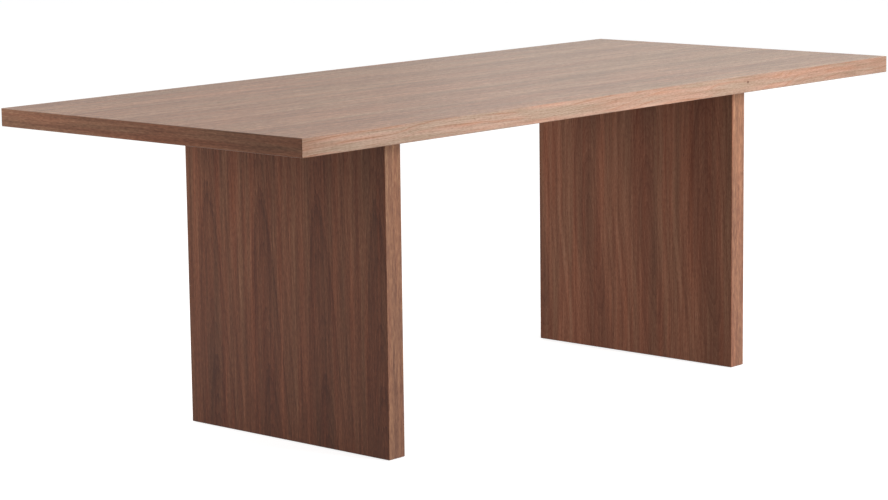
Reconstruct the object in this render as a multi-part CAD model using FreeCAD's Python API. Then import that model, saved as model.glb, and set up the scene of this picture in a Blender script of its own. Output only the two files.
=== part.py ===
"""Panel-leg dining table with a walnut veneered top.

A 40 mm veneered top rests on two 50 mm veneered panel legs that stand in from its ends.
Each leg is two boards glued face to face round a steel blade. The blade is welded to a flat
plate that lies flush in the underside of the top, where machine screws hold it to threaded
sleeves. A levelling foot hides in a counterbore at each end of each leg's lower edge.

Frame: origin on the floor under the middle of the top, +X along the table, +Y across it to
the back, +Z up. The left leg is at -X. All lengths are in millimetres.
"""
import FreeCAD, Part
import math
import os

# ---- Overall sizes
table_length = 2100.0
table_width = 920.0
table_height = 750.0
end_overhang = 400.0            # end of the top to the outer face of a leg
leg_width = 615.0               # across the table

# ---- Sheet materials
top_board_thickness = 38.0
leg_board_thickness = 24.0      # two of these make a leg
veneer_thickness = 1.0
lipping_thickness = 3.0         # strips glued round the edges of the boards
arris_radius = 1.4              # sanded rounding of every outside edge

# ---- Steel bracket at the head of each leg
plate_thickness = 5.0
plate_reach = 50.0              # plate beyond each broad face of the leg
plate_setback = 27.5            # end of the plate to the narrow edge of the leg
plate_corner_radius = 10.0
blade_thickness = 6.0
blade_depth = 140.0
blade_setback = 65.0            # end of the blade to the narrow edge of the leg
blade_corner_radius = 12.0
weld_leg = 4.0
weld_length = 50.0
weld_pitch = 110.0
weld_relief = 1.0               # room for a weld in the chamfered mouth of the blade slot

# ---- Machine screws that hold the plate to the top
bolt_diameter = 8.0
bolt_length = 20.0
bolts_per_row = 3
bolt_end_distance = 30.0        # first bolt to the end of the plate
bolt_head_diameter = 17.0        # wide enough to need no washer
bolt_crown_diameter = 9.0
bolt_head_height = 4.4
bolt_rim_height = 1.0
bolt_socket_width = 5.0         # across the flats of the hexagon socket
bolt_socket_depth = 2.6
bolt_hole_clearance = 0.5       # on the radius, in the plate

# ---- Threaded sleeves in the top
top_sleeve_wall = 2.4
top_sleeve_length = 15.0
sleeve_hole_spare = 3.0         # hole carried on past the end of the sleeve

# ---- Countersunk wood screws that hold the plate to the leg boards
wood_screw_diameter = 5.0
wood_screw_length = 60.0
wood_screw_head_diameter = 9.6
wood_screw_point = 7.0
wood_screws_per_board = 2
wood_screw_end_distance = 110.0 # first screw to the end of the plate

# ---- Levelling feet
floor_gap = 2.0                 # leg above the floor with its feet screwed right in
foot_inset = 55.0               # foot to the narrow edge of the leg
foot_travel = 12.0              # how far a foot screws out
stem_grip = 22.0                # screw still above the hexagon's seat with the foot right out
pad_diameter = 30.0
pad_height = 7.0
pad_bevel = 1.5
pad_floor = 2.0                 # nylon under the stem's button
stem_diameter = 8.0
button_diameter = 13.0
button_height = 2.6
neck_diameter = 9.0
hexagon_width = 13.0            # across the flats
hexagon_height = 4.5
foot_sleeve_wall = 2.5
foot_sleeve_length = 26.0
foot_sleeve_flange_width = 4.5
foot_sleeve_flange_thickness = 1.5
counterbore_clearance = 2.0     # round the pad

# ---- Fits, on the radius or across a gap
glue_gap = 0.1
thread_gap = 0.05
turning_gap = 0.1
seat_gap = 0.2
recess_gap = 0.5

# ---- Sizes that follow from the ones above
top_thickness = top_board_thickness + 2 * veneer_thickness
leg_thickness = 2 * (leg_board_thickness + veneer_thickness)
leg_centre_x = table_length / 2 - end_overhang - leg_thickness / 2
underside_z = table_height - top_thickness
top_board_low_z = underside_z + veneer_thickness
top_board_high_z = table_height - veneer_thickness
recess_roof_z = underside_z + plate_thickness
plate_length = leg_width - 2 * plate_setback
plate_width = leg_thickness + 2 * plate_reach
blade_length = leg_width - 2 * blade_setback
bolt_row_x = leg_thickness / 2 + plate_reach / 2
top_sleeve_radius = bolt_diameter / 2 + thread_gap + top_sleeve_wall
top_sleeve_high_z = recess_roof_z + top_sleeve_length
wood_screw_x = (blade_thickness / 2 + leg_board_thickness) / 2
foot_y = leg_width / 2 - foot_inset
button_low_z = pad_floor + turning_gap
neck_low_z = button_low_z + button_height
hexagon_low_z = pad_height + seat_gap
hexagon_high_z = hexagon_low_z + hexagon_height
stem_length = foot_travel + stem_grip
stem_high_z = hexagon_high_z + stem_length
foot_sleeve_low_z = hexagon_high_z + seat_gap
counterbore_roof_z = foot_sleeve_low_z + foot_sleeve_flange_thickness
foot_sleeve_high_z = foot_sleeve_low_z + foot_sleeve_length
foot_sleeve_radius = stem_diameter / 2 + thread_gap + foot_sleeve_wall
counterbore_radius = pad_diameter / 2 + counterbore_clearance
leg_sides = {"left": -1, "right": 1}
foot_rows = {"front": -1, "back": 1}


def point(x, y, z):
    return FreeCAD.Vector(x, y, z)


def block(x_range, y_range, z_range):
    """A box between two values along each axis, given in either order."""
    low = point(min(x_range), min(y_range), min(z_range))
    high = point(max(x_range), max(y_range), max(z_range))
    size = high - low
    return Part.makeBox(size.x, size.y, size.z, low)


def prism(outline, z_range):
    """A flat outline of (x, y) corners carried straight up from the first z to the second."""
    corners = [point(x, y, z_range[0]) for x, y in outline]
    face = Part.Face(Part.makePolygon(corners + corners[:1]))
    return face.extrude(point(0, 0, z_range[1] - z_range[0]))


def rod(radius, z_range, x=0.0, y=0.0):
    return Part.makeCylinder(radius, z_range[1] - z_range[0], point(x, y, z_range[0]))


def turned(profile):
    """Revolve a closed outline of (radius, z) corners about the Z axis."""
    corners = [point(radius, 0, z) for radius, z in profile]
    face = Part.Face(Part.makePolygon(corners + corners[:1]))
    return face.revolve(point(0, 0, 0), point(0, 0, 1), 360)


def hexagon(width_across_flats, z_range):
    corner_radius = width_across_flats / math.sqrt(3)
    turns = [math.radians(60 * corner) for corner in range(6)]
    outline = [(corner_radius * math.cos(turn), corner_radius * math.sin(turn)) for turn in turns]
    return prism(outline, z_range)


def rounded_plate(x_size, y_size, corner_radius, z_range):
    """A plate centred on the Z axis, with its four upright edges rounded."""
    plate = block((-x_size / 2, x_size / 2), (-y_size / 2, y_size / 2), z_range)
    return plate.makeFillet(corner_radius, edges_along(plate, point(0, 0, 1)))


def edges_along(shape, direction):
    """The straight edges of a block that run along the given direction."""
    return [edge for edge in shape.Edges if abs(edge.tangentAt(edge.FirstParameter).dot(direction)) > 0.999]


def fused(shapes):
    whole = shapes[0]
    if len(shapes) > 1:
        whole = whole.multiFuse(shapes[1:])
    return whole.removeSplitter()


def copies(shape, places):
    """One copy of the shape for each (x, y) place."""
    result = []
    for x, y in places:
        copy = shape.copy()
        copy.translate(point(x, y, 0))
        result.append(copy)
    return result


def spread(count, reach):
    """Evenly spaced values from -reach to +reach, or the middle alone."""
    if count == 1:
        return [0.0]
    return [-reach + 2 * reach * step / (count - 1) for step in range(count)]


def save(node, shapes):
    """Write one node as a STEP file. A list becomes a group of separate solids."""
    group = shapes if isinstance(shapes, list) else [shapes]
    shape = group[0] if len(group) == 1 else Part.makeCompound(group)
    shape.exportStep("parts/" + node + ".step")


# ---- Places of the fasteners and feet, as seen from the middle of a leg

def bolt_places():
    rows = (-bolt_row_x, bolt_row_x)
    along = spread(bolts_per_row, plate_length / 2 - bolt_end_distance)
    return [(x, y) for x in rows for y in along]


def wood_screw_places():
    rows = (-wood_screw_x, wood_screw_x)
    along = spread(wood_screws_per_board, plate_length / 2 - wood_screw_end_distance)
    return [(x, y) for x in rows for y in along]


def foot_places():
    return [(0, row * foot_y) for row in foot_rows.values()]


def at_both_legs(shape):
    return copies(shape, [(side * leg_centre_x, 0) for side in leg_sides.values()])


# ---- The top

def top_envelope():
    """The outside of the finished top, with every arris rounded."""
    whole = block((-table_length / 2, table_length / 2), (-table_width / 2, table_width / 2),
                  (underside_z, table_height))
    return whole.makeFillet(arris_radius, whole.Edges)


def plate_recess():
    """The flat pocket that takes a bracket plate, with a hole above it for each sleeve."""
    pocket = rounded_plate(plate_width + 2 * recess_gap, plate_length + 2 * recess_gap,
                           plate_corner_radius + recess_gap, (underside_z, recess_roof_z))
    sleeve_hole = rod(top_sleeve_radius + glue_gap,
                      (recess_roof_z, top_sleeve_high_z + sleeve_hole_spare))
    return fused([pocket] + copies(sleeve_hole, bolt_places()))


def make_top():
    envelope = top_envelope()
    recesses = at_both_legs(plate_recess())
    full_x = (-table_length / 2, table_length / 2)
    full_y = (-table_width / 2, table_width / 2)
    board_x = table_length / 2 - lipping_thickness
    board_y = table_width / 2 - lipping_thickness
    board_z = (top_board_low_z, top_board_high_z)

    board = block((-board_x, board_x), (-board_y, board_y), board_z)
    save("top_board", board.cut(recesses))

    face = envelope.common(block(full_x, full_y, (top_board_high_z, table_height)))
    backing = envelope.common(block(full_x, full_y, (underside_z, top_board_low_z)))
    save("top_face_veneer", face)
    save("top_backing_veneer", backing.cut(recesses))

    outer = [(full_x[0], full_y[0]), (full_x[1], full_y[0]), (full_x[1], full_y[1]), (full_x[0], full_y[1])]
    inner = [(-board_x, -board_y), (board_x, -board_y), (board_x, board_y), (-board_x, board_y)]
    for start, edge in enumerate(("front", "right", "back", "left")):
        stop = (start + 1) % 4
        mitred = [outer[start], outer[stop], inner[stop], inner[start]]
        save("top_" + edge + "_lipping", envelope.common(prism(mitred, board_z)))


# ---- A leg, built about the Z axis. Outward is +x here, and turned to face each end later

def leg_envelope():
    """The outside of a finished leg, rounded except where its head meets the top."""
    whole = block((-leg_thickness / 2, leg_thickness / 2), (-leg_width / 2, leg_width / 2),
                  (floor_gap, underside_z))
    head_edges = [edge for edge in whole.Edges if edge.BoundBox.ZMin > underside_z - 1]
    rounded_edges = [edge for edge in whole.Edges if not any(edge.isSame(head) for head in head_edges)]
    return whole.makeFillet(arris_radius, rounded_edges)


def blade_slot():
    """The slot between the two boards for the blade, its mouth widened for the welds."""
    half_x = blade_thickness / 2 + glue_gap
    half_y = blade_length / 2 + glue_gap
    slot = block((-half_x, half_x), (-half_y, half_y), (underside_z - blade_depth - glue_gap, underside_z))
    flare = weld_leg + weld_relief
    mouth = [(-half_x - flare, underside_z), (half_x + flare, underside_z), (0, underside_z - half_x - flare)]
    corners = [point(x, -half_y, z) for x, z in mouth]
    wedge = Part.Face(Part.makePolygon(corners + corners[:1])).extrude(point(0, 2 * half_y, 0))
    return fused([slot, wedge])


def foot_hole():
    """Counterbore for a pad, hole for its sleeve and room above for the screwed-in stem."""
    profile = [
        (0, floor_gap),
        (counterbore_radius, floor_gap),
        (counterbore_radius, counterbore_roof_z),
        (foot_sleeve_radius + glue_gap, counterbore_roof_z),
        (foot_sleeve_radius + glue_gap, foot_sleeve_high_z + glue_gap),
        (stem_diameter / 2 + 1, foot_sleeve_high_z + glue_gap),
        (stem_diameter / 2 + 1, stem_high_z + sleeve_hole_spare),
        (0, stem_high_z + sleeve_hole_spare),
    ]
    return turned(profile)


def leg_pieces():
    """The wooden pieces of one leg, by the last part of their names."""
    envelope = leg_envelope()
    feet = copies(foot_hole(), foot_places())
    pilot = rod(wood_screw_diameter / 2 + glue_gap,
                (recess_roof_z - wood_screw_length - sleeve_hole_spare, underside_z))
    holes = feet + copies(pilot, wood_screw_places()) + [blade_slot()]
    board_y = leg_width / 2 - lipping_thickness
    board_low_z = floor_gap + lipping_thickness
    full_y = (-leg_width / 2, leg_width / 2)
    full_z = (floor_gap, underside_z)
    half_x = leg_thickness / 2
    board_x = leg_board_thickness

    pieces = {}
    for name, way in (("outer", 1), ("inner", -1)):
        board = block((0, way * board_x), (-board_y, board_y), (board_low_z, underside_z))
        pieces[name + "_board"] = board.cut(holes)
        pieces[name + "_veneer"] = envelope.common(block((way * board_x, way * half_x), full_y, full_z))
    for name, way in foot_rows.items():
        strip = block((-board_x, board_x), (way * board_y, way * leg_width / 2), full_z)
        pieces[name + "_lipping"] = envelope.common(strip)
    strip = block((-board_x, board_x), (-board_y, board_y), (floor_gap, board_low_z))
    pieces["bottom_lipping"] = envelope.common(strip).cut(feet)
    return pieces


# ---- The steel bracket

def bracket_plate():
    plate = rounded_plate(plate_width, plate_length, plate_corner_radius, (underside_z, recess_roof_z))
    bolt_hole = rod(bolt_diameter / 2 + bolt_hole_clearance, (underside_z, recess_roof_z))
    shank = wood_screw_diameter / 2 + glue_gap
    head = wood_screw_head_diameter / 2 + glue_gap
    countersunk_hole = turned([
        (0, underside_z), (shank, underside_z), (shank, recess_roof_z - (head - shank)),
        (head, recess_roof_z), (0, recess_roof_z)])
    return plate.cut(copies(bolt_hole, bolt_places()) + copies(countersunk_hole, wood_screw_places()))


def bracket_blade():
    """A plate on edge under the first, its two lower corners rounded."""
    blade = block((-blade_thickness / 2, blade_thickness / 2), (-blade_length / 2, blade_length / 2),
                  (underside_z - blade_depth, underside_z))
    across = edges_along(blade, point(1, 0, 0))
    low_edges = [edge for edge in across if edge.BoundBox.ZMax < underside_z - blade_depth / 2]
    return blade.makeFillet(blade_corner_radius, low_edges)


def bracket_welds():
    """Short fillet welds in the corner between plate and blade, on both sides of the blade."""
    count = int((blade_length - weld_length) // weld_pitch) + 1
    middles = spread(count, weld_pitch * (count - 1) / 2)
    welds = []
    for way in (-1, 1):
        root = way * blade_thickness / 2
        toe = root + way * weld_leg
        section = [(root, underside_z), (toe, underside_z), (root, underside_z - weld_leg)]
        for middle in middles:
            corners = [point(x, middle - weld_length / 2, z) for x, z in section]
            face = Part.Face(Part.makePolygon(corners + corners[:1]))
            welds.append(face.extrude(point(0, weld_length, 0)))
    return welds


# ---- Fasteners

def machine_screw():
    """A flanged button-head machine screw, pointing up, with a hexagon socket in its head."""
    crown_z = underside_z - bolt_head_height
    body = turned([
        (0, crown_z), (bolt_crown_diameter / 2, crown_z),
        (bolt_head_diameter / 2, underside_z - bolt_rim_height), (bolt_head_diameter / 2, underside_z),
        (bolt_diameter / 2, underside_z), (bolt_diameter / 2, underside_z + bolt_length),
        (0, underside_z + bolt_length)])
    return body.cut(hexagon(bolt_socket_width, (crown_z, crown_z + bolt_socket_depth)))


def top_sleeve():
    bore = bolt_diameter / 2 + thread_gap
    z_range = (recess_roof_z, top_sleeve_high_z)
    return rod(top_sleeve_radius, z_range).cut(rod(bore, z_range))


def wood_screw():
    """A countersunk screw, pointing down."""
    shank = wood_screw_diameter / 2
    head = wood_screw_head_diameter / 2
    point_z = recess_roof_z - wood_screw_length
    return turned([
        (0, recess_roof_z), (head, recess_roof_z), (shank, recess_roof_z - (head - shank)),
        (shank, point_z + wood_screw_point), (0, point_z)])


# ---- Levelling feet, screwed right in, with the pad on the floor

def foot_pad():
    """A nylon pad, hollowed for the button at the foot of the stem, with a lip that holds it in."""
    radius = pad_diameter / 2
    pocket = button_diameter / 2 + turning_gap
    mouth = neck_diameter / 2 + turning_gap
    pocket_roof_z = neck_low_z + turning_gap
    return turned([
        (0, 0), (radius - pad_bevel, 0), (radius, pad_bevel), (radius, pad_height),
        (mouth, pad_height), (mouth, pocket_roof_z), (pocket, pocket_roof_z),
        (pocket, pad_floor), (0, pad_floor)])


def foot_stem():
    """Button, neck, spanner hexagon and screw in one piece."""
    button = rod(button_diameter / 2, (button_low_z, neck_low_z))
    neck = rod(neck_diameter / 2, (neck_low_z, hexagon_low_z))
    spanner_flats = hexagon(hexagon_width, (hexagon_low_z, hexagon_high_z))
    lead = 1.0
    screw = turned([
        (0, hexagon_high_z), (stem_diameter / 2, hexagon_high_z), (stem_diameter / 2, stem_high_z - lead),
        (stem_diameter / 2 - lead, stem_high_z), (0, stem_high_z)])
    return fused([button, neck, spanner_flats, screw])


def foot_sleeve():
    bore = stem_diameter / 2 + thread_gap
    flange = foot_sleeve_radius + foot_sleeve_flange_width
    return turned([
        (bore, foot_sleeve_low_z), (flange, foot_sleeve_low_z), (flange, counterbore_roof_z),
        (foot_sleeve_radius, counterbore_roof_z), (foot_sleeve_radius, foot_sleeve_high_z),
        (bore, foot_sleeve_high_z)])


# ---- Assembly

def placed(shape, side):
    """Turn a piece built about the Z axis so that its +x faces the table's end, and carry it to its leg."""
    result = shape.copy()
    if side < 0:
        result.rotate(point(0, 0, 0), point(0, 0, 1), 180)
    result.translate(point(side * leg_centre_x, 0, 0))
    return result


def make_leg(name, side):
    wood = leg_pieces()
    if side < 0:
        wood["front_lipping"], wood["back_lipping"] = wood["back_lipping"], wood["front_lipping"]
    for piece, shape in wood.items():
        save(name + "_leg_" + piece, placed(shape, side))
    save(name + "_bracket_plate", placed(bracket_plate(), side))
    save(name + "_bracket_blade", placed(bracket_blade(), side))

    groups = {
        "bracket_welds": bracket_welds(),
        "plate_bolts": copies(machine_screw(), bolt_places()),
        "top_sleeves": copies(top_sleeve(), bolt_places()),
        "plate_screws": copies(wood_screw(), wood_screw_places()),
        "foot_sleeves": copies(foot_sleeve(), foot_places()),
    }
    for piece, solids in groups.items():
        save(name + "_" + piece, [placed(solid, side) for solid in solids])

    for row_name, row in foot_rows.items():
        place = (side * leg_centre_x, row * foot_y)
        save(name + "_" + row_name + "_foot_pad", copies(foot_pad(), [place]))
        save(name + "_" + row_name + "_foot_stem", copies(foot_stem(), [place]))


os.makedirs("parts", exist_ok=True)
make_top()
for leg_name, leg_side in leg_sides.items():
    make_leg(leg_name, leg_side)
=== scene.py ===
import math

import bpy
import numpy as np
from mathutils import Matrix, Vector


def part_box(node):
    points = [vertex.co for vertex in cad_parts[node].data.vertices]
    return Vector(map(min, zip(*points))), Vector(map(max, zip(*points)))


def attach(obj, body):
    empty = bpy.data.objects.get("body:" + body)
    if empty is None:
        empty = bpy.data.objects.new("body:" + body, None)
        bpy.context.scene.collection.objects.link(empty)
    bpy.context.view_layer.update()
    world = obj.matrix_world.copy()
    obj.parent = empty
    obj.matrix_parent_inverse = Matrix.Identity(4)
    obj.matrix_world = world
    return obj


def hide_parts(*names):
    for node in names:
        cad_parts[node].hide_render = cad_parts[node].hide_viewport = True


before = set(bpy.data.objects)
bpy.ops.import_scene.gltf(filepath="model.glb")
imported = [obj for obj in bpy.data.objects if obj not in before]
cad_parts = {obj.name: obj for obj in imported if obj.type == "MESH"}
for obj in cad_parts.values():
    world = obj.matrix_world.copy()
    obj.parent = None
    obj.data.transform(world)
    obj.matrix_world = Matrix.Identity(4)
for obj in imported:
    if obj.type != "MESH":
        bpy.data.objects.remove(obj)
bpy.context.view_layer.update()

# Looks of a panel-leg dining table in satin lacquered walnut. Metres, in the part's own frame:
# origin on the floor under the middle of the top, +X along the table, +Y to the back, +Z up.

MM = 0.001


# ---- Places that the frame gives

top_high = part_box("top_face_veneer")[1]
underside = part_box("top_backing_veneer")[0].z
leg_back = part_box("left_leg_outer_veneer")[1].y
SIDES = ("left", "right")
ROWS = ("front", "back")


# ---- Shader tools

def linear(hex_colour):
    """The linear colour that a shader takes, from an sRGB hex value."""
    channels = [int(hex_colour[at:at + 2], 16) / 255 for at in (0, 2, 4)]
    return tuple(c / 12.92 if c <= 0.04045 else ((c + 0.055) / 1.055) ** 2.4
                 for c in channels) + (1.0,)


def add(tree, kind, sockets=None, out=0, **settings):
    """Add one shader node with its settings and sockets, and return one of its outputs.
    A socket is keyed by name or number, and takes a value or a link from another output."""
    made = tree.nodes.new("ShaderNode" + kind)
    for name, value in settings.items():
        setattr(made, name, value)
    for key, value in (sockets or {}).items():
        if isinstance(value, bpy.types.NodeSocket):
            tree.links.new(value, made.inputs[key])
        else:
            made.inputs[key].default_value = value
    return made.outputs[out]


def new_material(name):
    """An empty material, its tree and its output node."""
    material = bpy.data.materials.new(name)
    material.use_nodes = True
    tree = material.node_tree
    tree.nodes.clear()
    return material, tree, tree.nodes.new("ShaderNodeOutputMaterial")


def set_stops(output, stops, interpolation="LINEAR"):
    """Give the colour ramp behind an output its (place, colour) stops."""
    ramp = output.node.color_ramp
    ramp.interpolation = interpolation
    while len(ramp.elements) > 1:
        ramp.elements.remove(ramp.elements[-1])
    ramp.elements[0].position, ramp.elements[0].color = stops[0]
    for place, colour in stops[1:]:
        ramp.elements.new(place).color = colour
    return output


def hex_stops(stops):
    """Ramp stops from (place, hex colour) pairs."""
    return [(place, linear(colour)) for place, colour in stops]


def tone_stops(stops):
    """Ramp stops from (place, tone) pairs."""
    return [(place, (tone, tone, tone, 1)) for place, tone in stops]


def weighted_sum(tree, start, terms):
    """start plus weight times value, for each (value, weight) term."""
    total = start
    for value, weight in terms:
        total = add(tree, "Math", {0: value, 1: weight, 2: total}, operation="MULTIPLY_ADD")
    return total


# ---- Walnut. A tone runs from 0, the darkest shade of a finish, to 1, its lightest.

PORE_COLOUR = "4A3028"
FIBRE_WIDTH, FIBRE_LENGTH = 2.2 * MM, 90 * MM
PORE_WIDTH, PORE_LENGTH = 1.0 * MM, 12 * MM
LEAF_WANDER = 14 * MM                           # how far a joint of two leaves strays sideways
LEAN_HEIGHT = 0.42                              # leaves lean below this height on a leg, metres
ROUND_TIP = 40 * MM                             # how blunt the tips of the arches are

# What the blush multiplies the wood's colour by, from its greyer zones to its redder ones.
BLUSH_TINTS = [(0.33, (0.95, 1.025, 1.02, 1)), (0.47, (1.0, 1.0, 0.99, 1)),
               (0.62, (1.06, 0.965, 0.94, 1)), (0.85, (1.09, 0.91, 0.82, 1))]


def streaks(tree, place, grain, width, length, detail=2.0, roughness=0.5):
    """Noise in blots of that width in metres, drawn out to that length along the grain axis."""
    scale = [1 / (length if axis == grain else width) for axis in "XYZ"]
    stretched = add(tree, "Mapping", {"Vector": place, "Scale": scale})
    return add(tree, "TexNoise", {"Vector": stretched, "Scale": 1.0, "Detail": detail,
                                  "Roughness": roughness})


def wood_fibre(tree, place, grain, fleck_width, streak_width):
    """What all walnut shows close up, as one tone around 0, a share of open pores and a share of
    blush: short flecks of fibre bundles, longer streaks, dark pores and greyer or redder zones.
    Pores are really 0.1 to 0.3 mm wide and are drawn 1 mm wide, so that they show."""
    fleck = streaks(tree, place, grain, fleck_width, 5 * fleck_width, detail=1.0, roughness=0.6)
    fibre = streaks(tree, place, grain, FIBRE_WIDTH, FIBRE_LENGTH, detail=3.0, roughness=0.6)
    streak = streaks(tree, place, grain, streak_width, 40 * streak_width)
    pore_noise = streaks(tree, place, grain, PORE_WIDTH, PORE_LENGTH, detail=1.0)
    pores = add(tree, "MapRange", {"Value": pore_noise, "From Min": 0.57, "From Max": 0.70})
    weight = 0.7                                # the start takes off the three means of 0.5
    fine = weighted_sum(tree, -1.5 * weight, [(fleck, weight), (fibre, weight), (streak, weight)])
    blush = streaks(tree, place, grain, 3 * streak_width, 60 * streak_width)
    return fine, pores, blush


def lacquered_walnut(tree, output, tone, pores, blush, shades, pore_depth=0.4, sheen=0.15,
                     rim=None):
    """Satin lacquer on open-grained walnut: the tone picks the wood's colour, the blush turns it
    greyer or redder, the pores are darker, duller and slightly sunk, and the film gives a soft
    sheen at a glancing angle. rim is a share of the surface and the colour that it has there."""
    shade = set_stops(add(tree, "ValToRGB", {"Fac": tone}, out="Color"), hex_stops(shades))
    tint = set_stops(add(tree, "ValToRGB", {"Fac": blush}, out="Color"), BLUSH_TINTS)
    warm = add(tree, "VectorMath", {0: shade, 1: tint}, operation="MULTIPLY")
    pore_share = add(tree, "Math", {0: pores, 1: pore_depth}, operation="MULTIPLY")
    colour = add(tree, "Mix", {0: pore_share, 6: warm, 7: linear(PORE_COLOUR)}, out=2,
                 data_type="RGBA")
    if rim:
        rim_place, rim_colour = rim
        colour = add(tree, "Mix", {0: rim_place, 6: colour, 7: linear(rim_colour)}, out=2,
                     data_type="RGBA")
    roughness = add(tree, "MapRange", {"Value": pores, "To Min": 0.42, "To Max": 0.55})
    relief = add(tree, "Math", {0: 1.0, 1: pores}, operation="SUBTRACT")
    bump = add(tree, "Bump", {"Strength": 0.35, "Distance": 0.05 * MM, "Height": relief})
    shader = add(tree, "BsdfPrincipled", {"Base Color": colour, "Roughness": roughness, "IOR": 1.5,
                                          "Specular IOR Level": sheen, "Normal": bump})
    tree.links.new(shader, output.inputs["Surface"])


def growth_lines(tree, radius, first, ring, unevenness, sharpness):
    """Dark lines a ring apart that darken slowly and end sharply, as a walnut's years do: a power
    of the fraction of (radius - first) / ring, which noise makes wider and narrower by turns."""
    from_first = add(tree, "Math", {0: radius, 1: first}, operation="SUBTRACT")
    years = add(tree, "Math", {0: from_first, 1: ring}, operation="DIVIDE")
    uneven = add(tree, "TexNoise", {"W": years, "Scale": 0.6, "Detail": 1.0},
                 noise_dimensions="1D")
    count = weighted_sum(tree, years, [(uneven, unevenness)])
    phase = add(tree, "Math", {0: count}, operation="FRACT")
    return add(tree, "Math", {0: phase, 1: sharpness}, operation="POWER")


def rim_share(tree, place, low, high):
    """1 on the rounded edge of a board that lies between two heights, and 0 on its flat faces."""
    height = add(tree, "SeparateXYZ", {0: place}, out="Z")
    above_middle = add(tree, "Math", {0: height, 1: (low + high) / 2}, operation="SUBTRACT")
    off_middle = add(tree, "Math", {0: above_middle}, operation="ABSOLUTE")
    half = (high - low) / 2
    return add(tree, "MapRange", {"Value": off_middle, "From Min": half - 0.05 * MM,
                                  "From Max": half - 0.3 * MM})


def crown_cut_walnut(name, shades, grain, mean, back_edge, leaf_width, heart, leaf_tones,
                     band_weight, line_weight, fine_weight, year_weight=0.26, arch=0.0, eye=0.0,
                     eye_height=0.0, lean=0.0, tilt=0.0, fade=0.0, blush_weight=1.0, flush=0.0,
                     fleck_width=2.4 * MM, sheen=0.15, rim_colour=None):
    """Crown-cut walnut veneer, sliced flat across a log and laid in slip-matched leaves side by
    side along Y, so that every leaf repeats one figure: a dark heart with pointed arches, and
    growth lines that close up towards its edges.

    A growth line is where across^2 + arch * along + eye * (along - eye_height)^2 is constant:
    arch draws nested parabolas and eye draws nested ellipses. heart is where the figure's middle
    is in a leaf, as a share of its width, and leaf_tones are its tones from edge to edge. Towards
    the low end of the grain, lean drifts the leaves sideways, tilt slants the heart by that much
    per metre, fade lowers the tone by that much per metre, a painted shade that darkens a leg
    towards the floor, and flush makes it redder. A weight is how strongly its pattern shows, and
    rim_colour is the plain tone of the sanded, rounded edges of the top."""
    material, tree, output = new_material(name)
    place = add(tree, "TexCoord", out="Object")
    along = add(tree, "SeparateXYZ", {0: place}, out=grain)
    side = add(tree, "SeparateXYZ", {0: place}, out="Y")
    fine, pores, blush = wood_fibre(tree, place, grain, fleck_width, 7 * MM)

    wander = streaks(tree, place, grain, 120 * MM, 260 * MM)
    drift = add(tree, "MapRange", {"Value": along, "From Min": LEAN_HEIGHT, "From Max": 0.0,
                                   "To Max": lean}, interpolation_type="SMOOTHSTEP")
    from_edge = weighted_sum(tree, back_edge - LEAF_WANDER / 2,
                             [(side, -1.0), (wander, LEAF_WANDER), (drift, -1.0)])
    leaves = add(tree, "Math", {0: from_edge, 1: leaf_width}, operation="DIVIDE")
    share = add(tree, "Math", {0: leaves}, operation="FRACT")
    band = set_stops(add(tree, "ValToRGB", {"Fac": share}, out="Color"), tone_stops(leaf_tones),
                     "B_SPLINE")

    from_heart = add(tree, "Math", {0: share, 1: heart}, operation="SUBTRACT")
    across = weighted_sum(tree, 0.0, [(from_heart, leaf_width), (along, tilt)])
    squared = add(tree, "Math", {0: across, 1: across, 2: ROUND_TIP ** 2},
                  operation="MULTIPLY_ADD")
    above = add(tree, "Math", {0: along, 1: eye_height}, operation="SUBTRACT")
    above_squared = add(tree, "Math", {0: above, 1: above}, operation="MULTIPLY")
    bowed = weighted_sum(tree, squared, [(along, arch), (above_squared, eye)])
    not_below_zero = add(tree, "Math", {0: bowed, 1: 0.0}, operation="MAXIMUM")
    smooth_radius = add(tree, "Math", {0: not_below_zero}, operation="SQRT")
    radius = weighted_sum(tree, smooth_radius, [(fine, 1.5 * MM)])
    main_lines = growth_lines(tree, radius, first=52 * MM, ring=19 * MM, unevenness=0.2,
                              sharpness=3.0)
    year_lines = growth_lines(tree, radius, first=0.0, ring=4.5 * MM, unevenness=2.0,
                              sharpness=5.0)

    # The start takes off each pattern's mean, so that mean stays the mean tone: 0.5 of the band,
    # -0.25 of the main lines, about -0.05 for the year lines, and fade, a painted shade, at 0.35 m
    # along a leg.
    start = mean - 0.5 * band_weight + 0.25 * line_weight + 0.05 - 0.35 * fade
    tone = weighted_sum(tree, start, [(along, fade), (band, band_weight), (fine, fine_weight),
                                      (main_lines, -line_weight), (year_lines, -year_weight)])
    redder = weighted_sum(tree, 0.5 - 0.5 * blush_weight, [(blush, blush_weight), (along, -flush)])
    rim = (rim_share(tree, place, underside, top_high.z), rim_colour) if rim_colour else None
    lacquered_walnut(tree, output, tone, pores, redder, shades, sheen=sheen, rim=rim)
    return material


def straight_walnut(name, shades, grain, mean, fine_weight, blush_weight, fade, flush=0.0):
    """Quarter-cut walnut, sawn towards the heart of the log, for narrow edges: only fine straight
    fibre and soft streaks. fade is how much the tone falls per metre towards the low end of the
    grain, a painted shade, and flush is how much redder it gets there."""
    material, tree, output = new_material(name)
    place = add(tree, "TexCoord", out="Object")
    fine, pores, blush = wood_fibre(tree, place, grain, 3 * MM, 8 * MM)
    along = add(tree, "SeparateXYZ", {0: place}, out=grain)
    # fade is a painted shade: the tone falls towards the low end of the grain.
    tone = weighted_sum(tree, mean, [(fine, fine_weight), (along, fade)])
    redder = weighted_sum(tree, 0.5 - 0.5 * blush_weight, [(blush, blush_weight), (along, -flush)])
    lacquered_walnut(tree, output, tone, pores, redder, shades, sheen=0.12)
    return material


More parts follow.
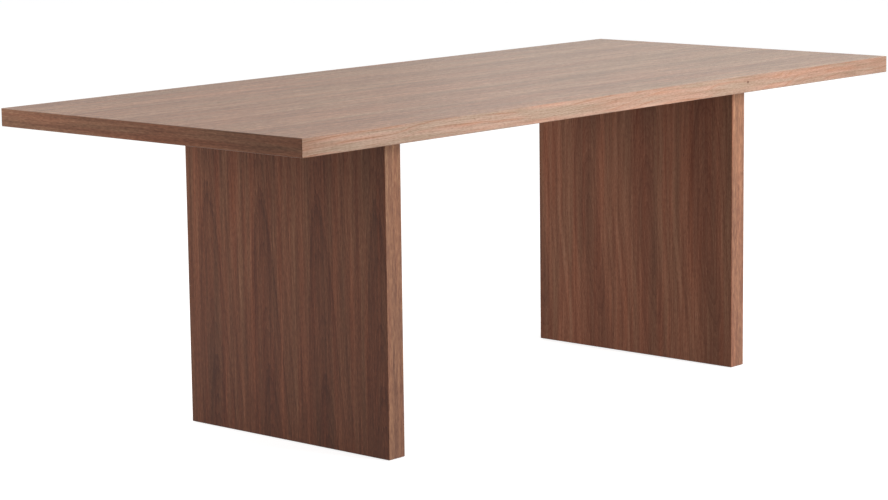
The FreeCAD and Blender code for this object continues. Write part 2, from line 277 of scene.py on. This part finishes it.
def figured_walnut(name, shades, line_rises, first_line, tones, knot_place):
    """Figured walnut for the long edges of the top, sawn where the fibres of the tree wander. The
    grain runs along X, and its growth lines all follow one curve, given as (x, rise) points, that
    ends in swirls. tones are lighter or darker places from end to end, and a knot is a small dark
    spot."""
    material, tree, output = new_material(name)
    place = add(tree, "TexCoord", out="Object")
    along = add(tree, "SeparateXYZ", {0: place}, out="X")
    height = add(tree, "SeparateXYZ", {0: place}, out="Z")
    fine, pores, blush = wood_fibre(tree, place, "X", 2 * MM, 5 * MM)

    low_x, high_x = line_rises[0][0], line_rises[-1][0]
    tallest = max(rise for _, rise in line_rises)
    share = add(tree, "MapRange", {"Value": along, "From Min": low_x, "From Max": high_x})
    curve = add(tree, "FloatCurve", {"Value": share})
    points = curve.node.mapping.curves[0].points
    while len(points) < len(line_rises):
        points.new(0.5, 0.5)
    for point, (x, rise) in zip(points, line_rises):
        point.location = ((x - low_x) / (high_x - low_x), rise / tallest)
    curve.node.mapping.update()

    swirl = streaks(tree, place, "X", 30 * MM, 80 * MM, detail=1.0)
    swirl_size = add(tree, "MapRange", {"Value": share, "From Min": 0.5, "From Max": 0.85,
                                        "To Min": 3 * MM, "To Max": 30 * MM})
    swirled = add(tree, "Math", {0: swirl, 1: swirl_size}, operation="MULTIPLY")
    field = weighted_sum(tree, swirled, [(height, 1.0), (curve, -tallest), (fine, 0.7 * MM)])
    main_lines = growth_lines(tree, field, first_line, ring=15 * MM, unevenness=0.2, sharpness=5.0)
    year_lines = growth_lines(tree, field, first_line, ring=4.1 * MM, unevenness=1.5,
                              sharpness=3.0)
    patches = streaks(tree, place, "X", 12 * MM, 140 * MM)
    strength = add(tree, "MapRange", {"Value": patches, "From Min": 0.4, "From Max": 0.62,
                                      "To Min": 0.1})
    lines = add(tree, "Math", {0: main_lines, 1: strength}, operation="MULTIPLY")

    from_knot = add(tree, "VectorMath", {0: place, 1: knot_place}, operation="SUBTRACT")
    knot_scale = (1 / (5 * MM), 0.0, 1 / (3 * MM))    # half its length and half its height
    in_knot = add(tree, "VectorMath", {0: from_knot, 1: knot_scale}, operation="MULTIPLY")
    knot_far = add(tree, "VectorMath", {0: in_knot}, out="Value", operation="LENGTH")
    knot = add(tree, "MapRange", {"Value": knot_far, "From Min": 0.4, "From Max": 1.2,
                                  "To Min": 1.0, "To Max": 0.0})
    zone = set_stops(add(tree, "ValToRGB", {"Fac": share}, out="Color"), tone_stops(tones),
                     "B_SPLINE")

    # The start is -0.15 for the patches' mean and 0.08 for what the lines take off.
    tone = weighted_sum(tree, -0.07, [(zone, 1.0), (fine, 0.6), (patches, 0.3), (lines, -0.18),
                                      (year_lines, -0.14), (knot, -0.6)])
    redder = weighted_sum(tree, 0.05, [(blush, 0.8), (patches, 0.6), (zone, -0.6), (lines, 0.4)])
    lacquered_walnut(tree, output, tone, pores, redder, shades, pore_depth=0.35)
    return material


# ---- Board, coatings, metal and nylon

def raw_fibreboard():
    """Sanded medium-density fibreboard: short fibres pressed flat lie every way, so it looks pale
    brown with slightly darker flecks, and quite dull."""
    material, tree, output = new_material("fibreboard")
    place = add(tree, "TexCoord", out="Object")
    flecks = add(tree, "TexNoise", {"Vector": place, "Scale": 1 / (1.5 * MM), "Detail": 2.0})
    clouds = add(tree, "TexNoise", {"Vector": place, "Scale": 1 / (60 * MM), "Detail": 1.0})
    tone = weighted_sum(tree, -0.25, [(flecks, 1.0), (clouds, 0.5)])
    colour = set_stops(add(tree, "ValToRGB", {"Fac": tone}, out="Color"),
                       hex_stops([(0.2, "8F6E4B"), (0.8, "C4A278")]))
    bump = add(tree, "Bump", {"Strength": 0.6, "Distance": 0.08 * MM, "Height": flecks})
    shader = add(tree, "BsdfPrincipled", {"Base Color": colour, "Roughness": 0.9, "Normal": bump})
    tree.links.new(shader, output.inputs["Surface"])
    return material


def powder_coat():
    """Black powder, sprayed dry and baked, so that it flows into low waves, an orange peel about
    2 mm from crest to crest, with a satin shine."""
    material, tree, output = new_material("powder_coat")
    place = add(tree, "TexCoord", out="Object")
    waves = add(tree, "TexNoise", {"Vector": place, "Scale": 1 / (2.0 * MM), "Detail": 1.0})
    grit = add(tree, "TexNoise", {"Vector": place, "Scale": 1 / (0.3 * MM), "Detail": 1.0})
    roughness = add(tree, "MapRange", {"Value": grit, "To Min": 0.36, "To Max": 0.52})
    bump = add(tree, "Bump", {"Strength": 0.7, "Distance": 0.03 * MM, "Height": waves})
    shader = add(tree, "BsdfPrincipled", {"Base Color": linear("1E1F20"), "Roughness": roughness,
                                          "IOR": 1.5, "Normal": bump})
    tree.links.new(shader, output.inputs["Surface"])
    return material


def zinc_plate(name, colour, dull_colour):
    """Zinc plated in a rolling barrel and passivated: the zinc's crystals cloud its colour, and the
    barrel leaves small dents that spread its reflections."""
    material, tree, output = new_material(name)
    place = add(tree, "TexCoord", out="Object")
    clouds = add(tree, "TexNoise", {"Vector": place, "Scale": 1 / (3.0 * MM), "Detail": 3.0})
    dents = add(tree, "TexNoise", {"Vector": place, "Scale": 1 / (0.7 * MM), "Detail": 1.0})
    film = add(tree, "Mix", {0: clouds, 6: linear(colour), 7: linear(dull_colour)}, out=2,
               data_type="RGBA")
    roughness = add(tree, "MapRange", {"Value": clouds, "To Min": 0.22, "To Max": 0.46})
    bump = add(tree, "Bump", {"Strength": 0.4, "Distance": 0.02 * MM, "Height": dents})
    shader = add(tree, "BsdfPrincipled", {"Base Color": film, "Metallic": 1.0,
                                          "Roughness": roughness, "Normal": bump})
    tree.links.new(shader, output.inputs["Surface"])
    return material


def moulded_nylon():
    """Black nylon from a spark-eroded steel mould, which leaves it evenly dimpled and matt."""
    material, tree, output = new_material("nylon")
    place = add(tree, "TexCoord", out="Object")
    dimples = add(tree, "TexVoronoi", {"Vector": place, "Scale": 1 / (0.5 * MM)}, out="Distance")
    roughness = add(tree, "MapRange", {"Value": dimples, "To Min": 0.48, "To Max": 0.62})
    bump = add(tree, "Bump", {"Strength": 0.5, "Distance": 0.02 * MM, "Height": dimples})
    shader = add(tree, "BsdfPrincipled", {"Base Color": linear("202122"), "Roughness": roughness,
                                          "IOR": 1.53, "Normal": bump})
    tree.links.new(shader, output.inputs["Surface"])
    return material


# ---- The finishes of this table

# The shades of each walnut finish, from dark to light. The right leg's shades, on its faces
# and edges, are paler and redder than the left leg's.
LEG_SHADES = [(0.0, "3C2219"), (0.35, "543325"), (0.6, "654130"), (1.0, "805843")]
RIGHT_LEG_SHADES = [(0.0, "523024"), (0.35, "6F4736"), (0.6, "865A45"), (1.0, "A27861")]
TOP_SHADES = [(0.0, "50321F"), (0.3, "755239"), (0.6, "926D51"), (1.0, "BE9777")]
END_SHADES = [(0.0, "3C251B"), (0.35, "573A2C"), (0.6, "6B4A39"), (1.0, "876650")]
EDGE_SHADES = [(0.0, "3F291E"), (0.35, "614438"), (0.6, "795845"), (1.0, "9D7C61")]
RIGHT_EDGE_SHADES = [(0.0, "462E22"), (0.35, "6D4B3C"), (0.6, "87604B"), (1.0, "B08769")]
FIGURED_SHADES = [(0.0, "5B3D33"), (0.3, "7C6150"), (0.6, "947B6C"), (1.0, "B49A8B")]

# Tones across one leaf of veneer, from its back edge to its front one.
LEG_LEAF = [(0.0, 0.62), (0.035, 0.34), (0.10, 0.58), (0.20, 0.50), (0.30, 0.34), (0.58, 0.32),
            (0.68, 0.50), (0.76, 0.56), (0.81, 0.46), (0.85, 0.55), (0.91, 0.40), (0.97, 0.66),
            (1.0, 0.62)]
# On the top, the light tones at 0.92 and 0.98 fall along its front edge as a lighter strip, partly
# a painted highlight there, and repeat in every other leaf as a light streak of the wood.
TOP_LEAF = [(0.0, 0.58), (0.12, 0.43), (0.25, 0.30), (0.42, 0.38), (0.55, 0.56), (0.75, 0.55),
            (0.82, 0.54), (0.92, 0.82), (0.98, 0.82), (1.0, 0.58)]

# The growth lines of the long edges, as (x, rise) in metres, and their tones from left to right.
FRONT_LINE = [(-1.05, 0.0), (-0.95, 0.005), (-0.78, 0.008), (-0.72, 0.018), (-0.64, 0.023),
              (-0.54, 0.021), (-0.40, 0.016), (-0.285, 0.010), (-0.20, 0.016), (-0.07, 0.023),
              (0.15, 0.051), (0.27, 0.053), (0.345, 0.065), (0.43, 0.066), (0.55, 0.080),
              (0.67, 0.115), (0.75, 0.125), (1.05, 0.135)]
FRONT_TONES = [(0.0, 0.34), (0.03, 0.43), (0.10, 0.51), (0.45, 0.49), (0.80, 0.44), (0.90, 0.40),
               (0.93, 0.36), (0.955, 0.44), (0.97, 0.33), (1.0, 0.39)]
KNOT_PLACE = (0.45, 0.0, 0.7345)

# fade darkens each leg's faces towards the floor, a painted shade.
leg_face_left = crown_cut_walnut(
    "leg_walnut_left", LEG_SHADES, "Z", mean=0.43, back_edge=leg_back, leaf_width=172 * MM,
    heart=0.53, leaf_tones=LEG_LEAF, band_weight=0.9, line_weight=0.18, year_weight=0.21,
    fine_weight=0.95, arch=5.5 * MM, tilt=0.045, fade=0.34)
leg_face_right = crown_cut_walnut(
    "leg_walnut_right", RIGHT_LEG_SHADES, "Z", mean=0.47, back_edge=leg_back + 115 * MM,
    leaf_width=185 * MM, heart=0.515, leaf_tones=LEG_LEAF, band_weight=0.9, line_weight=0.10,
    year_weight=0.17, fine_weight=0.7, eye=0.02, eye_height=0.30, lean=0.04, fade=0.10)
top_face, top_underside = (crown_cut_walnut(
    name, TOP_SHADES, "X", mean=0.48, back_edge=top_high.y, leaf_width=185 * MM, heart=0.25,
    leaf_tones=TOP_LEAF, band_weight=0.32, line_weight=0.08, fine_weight=1.15, arch=0.5 * MM,
    blush_weight=1.1, flush=0.12, fleck_width=3.5 * MM, sheen=0.22, rim_colour=rim_colour)
    for name, rim_colour in (("top_walnut", "877266"), ("top_backing_walnut", "6B4A39")))
front_edge = figured_walnut("figured_lipping_walnut", FIGURED_SHADES, FRONT_LINE,
                            first_line=underside + 19 * MM, tones=FRONT_TONES,
                            knot_place=KNOT_PLACE)
# fade darkens the ends of the top towards the front and the legs' edges towards the floor, a
# painted shade.
end_edge = straight_walnut("end_lipping_walnut", END_SHADES, "Y", mean=0.51, fine_weight=0.85,
                           blush_weight=1.6, fade=0.12, flush=0.3)
leg_edge_left = straight_walnut("leg_lipping_walnut_left", EDGE_SHADES, "Z", mean=0.43,
                                fine_weight=0.8, blush_weight=0.5, fade=0.2)
leg_edge_right = straight_walnut("leg_lipping_walnut_right", RIGHT_EDGE_SHADES, "Z", mean=0.445,
                                 fine_weight=0.9, blush_weight=0.5, fade=0.16)
fibreboard = raw_fibreboard()
black_coat = powder_coat()
black_zinc = zinc_plate("black_zinc", "38383B", "1D1D20")
bright_zinc = zinc_plate("bright_zinc", "D3D6DA", "A5A9AF")
nylon = moulded_nylon()

# What the end of a node's name says about its finish.
FINISHES = {
    "top_face_veneer": top_face,
    "top_backing_veneer": top_underside,
    "top_front_lipping": front_edge,
    "top_back_lipping": front_edge,
    "top_left_lipping": end_edge,
    "top_right_lipping": end_edge,
    "left_leg_outer_veneer": leg_face_left,
    "left_leg_inner_veneer": leg_face_left,
    "right_leg_outer_veneer": leg_face_right,
    "right_leg_inner_veneer": leg_face_right,
    "left_leg_front_lipping": leg_edge_left,
    "left_leg_back_lipping": leg_edge_left,
    "right_leg_front_lipping": leg_edge_right,
    "right_leg_back_lipping": leg_edge_right,
    "leg_bottom_lipping": end_edge,
    "board": fibreboard,
    "plate": black_coat,
    "blade": black_coat,
    "welds": black_coat,
    "bolts": black_zinc,
    "sleeves": bright_zinc,
    "screws": bright_zinc,
    "pad": nylon,
    "stem": bright_zinc,
}


def finish_of(node):
    """The finish of a node, told by the end of its name."""
    return next(finish for ending, finish in FINISHES.items() if node.endswith(ending))


for node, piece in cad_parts.items():
    piece.data.materials.clear()
    piece.data.materials.append(finish_of(node))


# ---- Turned, threaded and welded pieces that stand for plain nodes. Their sizes are in mm.

AROUND = 72                                     # points round a ring, a multiple of 6
ANGLE = np.arange(AROUND) * 2 * np.pi / AROUND
SECTOR = np.pi / 3
HEXAGON = 1 / np.cos(ANGLE % SECTOR - SECTOR / 2)    # 1 at the middle of a flat
SIX_LOBES = 1 + 0.13 * np.cos(6 * ANGLE)

METRIC_PITCH, METRIC_DEPTH = 1.25, 0.72         # the coarse thread of an 8 mm screw
METRIC_RADIUS = 4.0
BORE_RADIUS, BORE_DEPTH = 4.05, -0.6            # the same thread cut into a sleeve
FLANGE_RADIUS, HEAD_HEIGHT = 8.5, 4.4           # head of a machine screw
COUNTERSUNK_RADIUS = 4.8                        # head of a wood screw
WELD_MIDDLES = (-165, -55, 55, 165)             # along Y, of the beads on each side of a blade


def rings(profile, outline=1.0, widest=np.inf):
    """One ring round Z for each (radius, height) of a profile. Each point is at the radius times
    the outline's value at its angle, and no farther out than widest."""
    radius, height = np.array(profile, float).T
    reach = np.minimum(radius[:, None] * outline * np.ones(AROUND), np.reshape(widest, (-1, 1)))
    return np.stack([reach * np.cos(ANGLE), reach * np.sin(ANGLE),
                     height[:, None] * np.ones(AROUND)], axis=-1)


def threaded(start, end, surface, depth, pitch, steps=8):
    """Rings of a right-hand thread from start to end, some steps a turn. The radius leaves the
    surface by depth, inwards where it is positive, times a triangle wave of
    height / pitch - angle / turn, and the thread fades out over its first and last turn."""
    height = np.linspace(start, end, int(steps * abs(end - start) / pitch) + 1)[:, None]
    phase = (height / pitch - ANGLE / (2 * np.pi)) % 1
    fade = np.clip(np.minimum(abs(height - start), abs(end - height)) / pitch, 0, 1)
    reach = surface - depth * fade * (1 - abs(2 * phase - 1))
    return np.stack([reach * np.cos(ANGLE), reach * np.sin(ANGLE), height * np.ones(AROUND)],
                    axis=-1)


def skin(stack, hollow=False):
    """Points and faces of a closed surface through a stack of rings. A hollow one joins its last
    ring to its first, and a solid one closes both ends on their middle points."""
    count, around = stack.shape[:2]
    points = stack.reshape(-1, 3)
    here = np.arange(around)
    after = (here + 1) % around
    low = np.arange(count if hollow else count - 1)[:, None] * around
    high = (low + around) % (count * around)
    walls = np.stack([low + here, low + after, high + after, high + here], axis=-1)
    walls = walls.reshape(-1, 4)
    if hollow:
        return points, [walls]
    last = (count - 1) * around
    bottom = np.stack([after, here, np.full(around, len(points))], axis=-1)
    top = np.stack([last + here, last + after, np.full(around, len(points) + 1)], axis=-1)
    return np.vstack([points, stack[[0, -1]].mean(axis=1)]), [walls, bottom, top]


def make_piece(name, skins, node, body, finish):
    """One object from closed skins in mm, which stands for a node and rides its body."""
    starts = np.cumsum([0] + [len(points) for points, _ in skins])
    corners = np.vstack([points for points, _ in skins]) * MM
    faces = []
    for start, (_, groups) in zip(starts, skins):
        for group in groups:
            faces += (group + start).tolist()
    mesh = bpy.data.meshes.new(name)
    mesh.from_pydata(corners, [], faces)
    mesh.shade_smooth()
    mesh.set_sharp_from_angle(angle=math.radians(25))
    mesh.materials.append(finish)
    piece = bpy.data.objects.new(name, mesh)
    bpy.context.scene.collection.objects.link(piece)
    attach(piece, body)
    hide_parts(node)
    return piece


def moved(one_skin, place):
    """The same skin with its origin at a place in mm."""
    points, groups = one_skin
    return points + np.array(place), groups


def machine_screw(length=20.0):
    """A flanged button-head screw that points up, its seat at height 0: hexagon socket, crown on
    a quarter of an ellipse, flange, rolled thread and bevelled end, all turned round Z."""
    dome = [(4.6 + 2.4 * math.sin(turn), -1.6 - 2.8 * math.cos(turn))
            for turn in np.linspace(0, np.pi / 2, 7)]
    head = ([(3.1, -HEAD_HEIGHT), (4.2, -HEAD_HEIGHT)] + dome
            + [(7.6, -1.25), (8.35, -1.0), (FLANGE_RADIUS, -0.85), (FLANGE_RADIUS, -0.1),
               (8.4, 0.0), (4.2, 0.0), (METRIC_RADIUS, 0.15)])
    return skin(np.vstack([
        rings([(2.5, -1.8), (2.5, -4.2)], HEXAGON),
        rings(head),
        threaded(0.4, length - 1.0, METRIC_RADIUS, METRIC_DEPTH, METRIC_PITCH, 6),
        rings([(METRIC_RADIUS, length - 0.9), (3.3, length)])]))


def wood_screw(length=60.0):
    """A countersunk screw that points down, the top of its head at height 0: a coarse thread with
    a slimmer shank above it and a six-lobed recess in the head, all turned round Z."""
    return skin(np.vstack([
        rings([(0.3, -length), (1.4, 5.0 - length)]),
        threaded(5.2 - length, -24.0, 2.5, 0.85, 2.6),
        rings([(1.9, -23.6), (1.9, -4.0), (2.2, -3.2), (4.6, -0.5), (COUNTERSUNK_RADIUS, -0.35),
               (COUNTERSUNK_RADIUS, -0.1), (4.7, 0.0), (2.9, 0.0)]),
        rings([(2.3, -0.15), (2.1, -2.0)], SIX_LOBES),
        rings([(0.8, -2.6)])]))


def foot_stem():
    """The turning part of a levelling foot, at its own heights above the floor: button, neck,
    hexagon with bevelled corners, and screw. The bevel keeps the hexagon's corners within
    6.3 + 1.7 * rise, where the rise is the height from the nearer end."""
    low, high = 7.2, 11.7
    rises = np.array([0.0, 0.35, 0.72])
    bevel_heights = np.concatenate([low + rises, high - rises[::-1]])
    bevel = 6.3 + 1.7 * np.concatenate([rises, rises[::-1]])
    return skin(np.vstack([
        rings([(6.0, 2.1), (6.4, 2.25), (6.5, 2.5), (6.5, 4.3), (6.3, 4.7), (4.5, 4.7),
               (4.5, low)]),
        rings([(6.5, height) for height in bevel_heights], HEXAGON, bevel),
        rings([(3.9, high), (3.5, high + 0.3), (3.5, high + 1.2)]),
        threaded(high + 1.6, 44.9, METRIC_RADIUS, METRIC_DEPTH, METRIC_PITCH),
        rings([(3.9, 45.0), (3.2, 45.7)])]))


def foot_sleeve():
    """A flanged press-in sleeve round a levelling screw: ribbed barrel, plain waist and cut
    thread. A rib's radius goes up and down with the cosine of its angle, 18 times a turn."""
    ribs = 1 - 0.025 * (1 + np.cos(18 * ANGLE))
    return skin(np.vstack([
        rings([(4.9, 11.9), (10.8, 11.9), (11.05, 12.15), (11.05, 13.15), (10.8, 13.4),
               (6.0, 13.4)]),
        rings([(6.55, 13.9), (6.55, 23.5)], ribs),
        rings([(5.9, 24.0), (5.9, 27.0)]),
        rings([(6.55, 27.5), (6.55, 37.0)], ribs),
        rings([(5.9, 37.9), (4.7, 37.9)]),
        threaded(37.4, 12.4, BORE_RADIUS, BORE_DEPTH, METRIC_PITCH, 6)]), hollow=True)


def top_sleeve(length=15.0):
    """A screw-in sleeve from height 0 up: coarse thread outside to hold in board, fine one
    inside, both turned round Z."""
    return skin(np.vstack([
        rings([(4.8, 0.0), (6.2, 0.0), (6.45, 0.25)]),
        threaded(0.4, length - 0.5, 6.45, 0.9, 3.0),
        rings([(6.0, length - 0.3), (5.7, length), (4.7, length)]),
        threaded(length - 0.5, 0.5, BORE_RADIUS, BORE_DEPTH, METRIC_PITCH, 6)]), hollow=True)


def weld_bead(facing, middle, length=50.0, leg=4.0, ripple_length=2.6, dent=0.35):
    """A fillet weld along Y between an upright face and the plate above it. Seen along Y, its face
    is at leg / (cos + sin) from the corner, swollen by a share of sin(2 angle), and it is dented
    once a ripple, later in its middle than at its toes, as each pool of metal froze. The root of
    1 - along^10 rounds off both its ends."""
    along = np.linspace(-1, 1, 121)[:, None]
    angle = np.linspace(0, np.pi / 2, 15)
    swell = np.sin(2 * angle)
    ripple = np.abs(np.sin(np.pi * (along * length / 2 / ripple_length - 0.45 * swell)))
    reach = leg / (np.cos(angle) + np.sin(angle)) * (1 + 0.14 * swell)
    reach = (reach - dent * (1 - ripple) * swell) * np.sqrt(np.clip(1 - along ** 10, 0.001, 1))
    face = np.stack([facing * reach * np.cos(angle), along * length / 2 + 0 * reach,
                     -reach * np.sin(angle)], axis=-1)
    corner = np.stack([0 * along, along * length / 2, 0 * along], axis=-1)
    loop = np.concatenate([corner, face], axis=1)
    if facing < 0:                              # mirrored, so its rings run the other way
        loop = loop[:, ::-1]
    return moved(skin(loop), (0, middle, 0))


for side in SIDES:
    low, high = (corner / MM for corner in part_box(side + "_plate_bolts"))
    bolt_places = [(x, y, low.z + HEAD_HEIGHT)
                   for x in (low.x + FLANGE_RADIUS, high.x - FLANGE_RADIUS)
                   for y in (low.y + FLANGE_RADIUS, 0.0, high.y - FLANGE_RADIUS)]
    make_piece(side + "_machine_screws", [moved(machine_screw(), place) for place in bolt_places],
               side + "_plate_bolts", "table", black_zinc)

    sleeve_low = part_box(side + "_top_sleeves")[0].z / MM
    make_piece(side + "_threaded_sleeves",
               [moved(top_sleeve(), (x, y, sleeve_low)) for x, y, _ in bolt_places],
               side + "_top_sleeves", "table", bright_zinc)

    low, high = (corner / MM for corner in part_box(side + "_plate_screws"))
    screw_places = [(x, y, high.z)
                    for x in (low.x + COUNTERSUNK_RADIUS, high.x - COUNTERSUNK_RADIUS)
                    for y in (low.y + COUNTERSUNK_RADIUS, high.y - COUNTERSUNK_RADIUS)]
    make_piece(side + "_wood_screws", [moved(wood_screw(), place) for place in screw_places],
               side + "_plate_screws", "table", bright_zinc)

    low, high = (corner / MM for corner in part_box(side + "_bracket_blade"))
    beads = [moved(weld_bead(facing, middle), (x, 0, high.z))
             for facing, x in ((-1, low.x), (1, high.x)) for middle in WELD_MIDDLES]
    make_piece(side + "_weld_beads", beads, side + "_bracket_welds", "table", black_coat)

    feet = []
    for row in ROWS:
        name = side + "_" + row + "_foot"
        low, high = (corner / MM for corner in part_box(name + "_stem"))
        centre = ((low.x + high.x) / 2, (low.y + high.y) / 2, 0)
        feet.append(centre)
        make_piece(name + "_screw_stem", [moved(foot_stem(), centre)], name + "_stem",
                   name + "_screw", bright_zinc)
    make_piece(side + "_foot_thread_sleeves", [moved(foot_sleeve(), centre) for centre in feet],
               side + "_foot_sleeves", "table", bright_zinc)


# ---- Studio

FLOOR_HALF = 60.0
CAMERA_AZIMUTH, CAMERA_ELEVATION, CAMERA_ROLL = -48.2384, 9.2837, -0.7188
CAMERA_PLACE = (-4.8601, -4.2317, 1.3996)


def seen_directly(tree):
    """1 for what is seen straight, in a gloss or through glass, and 0 for other light."""
    camera = add(tree, "LightPath", out="Is Camera Ray")
    glossy = add(tree, "LightPath", out="Is Glossy Ray")
    through = add(tree, "LightPath", out="Is Transmission Ray")
    seen = add(tree, "Math", {0: camera, 1: glossy}, operation="MAXIMUM")
    return add(tree, "Math", {0: seen, 1: through}, operation="MAXIMUM")


def make_floor():
    """A wide pale floor. What is seen directly is lit up to bare white apart from the table's
    shadow, and the light that the floor throws back on the table stays low. It is clear from
    below, so that the table can be seen from there."""
    corners = [(-FLOOR_HALF, -FLOOR_HALF, 0), (FLOOR_HALF, -FLOOR_HALF, 0),
               (FLOOR_HALF, FLOOR_HALF, 0), (-FLOOR_HALF, FLOOR_HALF, 0)]
    mesh = bpy.data.meshes.new("floor")
    mesh.from_pydata(corners, [], [(0, 1, 2, 3)])
    floor = bpy.data.objects.new("floor", mesh)
    bpy.context.scene.collection.objects.link(floor)
    material, tree, output = new_material("studio_floor")
    seen = seen_directly(tree)
    pale = add(tree, "BsdfDiffuse", {"Color": (0.2, 0.2, 0.2, 1)})
    shaded = add(tree, "BsdfDiffuse", {"Color": (0.5, 0.5, 0.5, 1)})
    glow = add(tree, "Emission", {"Color": (1, 1, 1, 1), "Strength": 0.73})
    lifted = add(tree, "AddShader", {0: shaded, 1: glow})
    mixed = add(tree, "MixShader", {0: seen, 1: pale, 2: lifted})
    below = add(tree, "NewGeometry", out="Backfacing")
    hidden = add(tree, "Math", {0: below, 1: seen}, operation="MULTIPLY")
    clear = add(tree, "BsdfTransparent")
    final = add(tree, "MixShader", {0: hidden, 1: mixed, 2: clear})
    tree.links.new(final, output.inputs["Surface"])
    mesh.materials.append(material)


def light_world(strength):
    """White to the camera and in reflections, and a soft even fill otherwise."""
    world = bpy.data.worlds.new("studio")
    world.use_nodes = True
    tree = world.node_tree
    tree.nodes.clear()
    level = add(tree, "MapRange", {"Value": seen_directly(tree), "To Min": strength,
                                   "To Max": 1.0})
    background = add(tree, "Background", {"Color": (1, 1, 1, 1), "Strength": level})
    output = tree.nodes.new("ShaderNodeOutputWorld")
    tree.links.new(background, output.inputs["Surface"])
    bpy.context.scene.world = world


def pointing_back(azimuth, elevation):
    """The way from an aim point to what looks at it. Azimuth 0 is in front, pi / 2 at the right."""
    return Vector((math.sin(azimuth) * math.cos(elevation),
                   -math.cos(azimuth) * math.cos(elevation), math.sin(elevation)))


def add_lamp(name, azimuth, elevation, distance, size, power, aim, shine=False):
    """A square soft lamp that faces the aim point. Only one with shine shows in reflections."""
    data = bpy.data.lights.new(name, "AREA")
    data.size = size
    data.energy = power
    lamp = bpy.data.objects.new(name, data)
    bpy.context.scene.collection.objects.link(lamp)
    back = pointing_back(math.radians(azimuth), math.radians(elevation))
    lamp.location = Vector(aim) + back * distance
    lamp.rotation_mode = "QUATERNION"
    lamp.rotation_quaternion = back.to_track_quat("Z", "Y")
    lamp.visible_camera = False
    lamp.visible_glossy = shine


def add_camera():
    """The camera stands off the left front corner, a little above the top, and is rolled
    slightly."""
    back = pointing_back(math.radians(CAMERA_AZIMUTH), math.radians(CAMERA_ELEVATION))
    roll = math.radians(CAMERA_ROLL)
    level = (-back).cross(Vector((0, 0, 1))).normalized()
    upright = level.cross(-back)
    right = math.cos(roll) * level + math.sin(roll) * upright
    up = -math.sin(roll) * level + math.cos(roll) * upright
    data = bpy.data.cameras.new("camera")
    data.sensor_width = 36.0
    data.lens = 111.44
    data.clip_end = 200
    camera = bpy.data.objects.new("camera", data)
    turned = Matrix((right, up, back)).transposed().to_4x4()
    camera.matrix_world = Matrix.Translation(CAMERA_PLACE) @ turned
    bpy.context.scene.collection.objects.link(camera)
    bpy.context.scene.camera = camera


make_floor()
light_world(strength=0.55)
add_lamp("key", azimuth=9, elevation=9, distance=3.2, size=1.2, power=178, aim=(0.1, -0.3, 0.75))
add_lamp("overhead", azimuth=85, elevation=60, distance=2.8, size=2.2, power=20,
         aim=(0.3, 0.0, 0.75), shine=True)
add_lamp("left_fill", azimuth=-132, elevation=6, distance=1.6, size=1.1, power=42,
         aim=(-1.0, 0.3, 0.62))
add_lamp("rear_fill", azimuth=150, elevation=25, distance=4.5, size=2.4, power=25,
         aim=(0.0, 0.0, 0.5))
add_lamp("sheen", azimuth=115, elevation=12, distance=7.0, size=5.0, power=34,
         aim=(0.4, 0.0, 0.75), shine=True)
add_camera()
bpy.context.scene.view_settings.view_transform = "Standard"
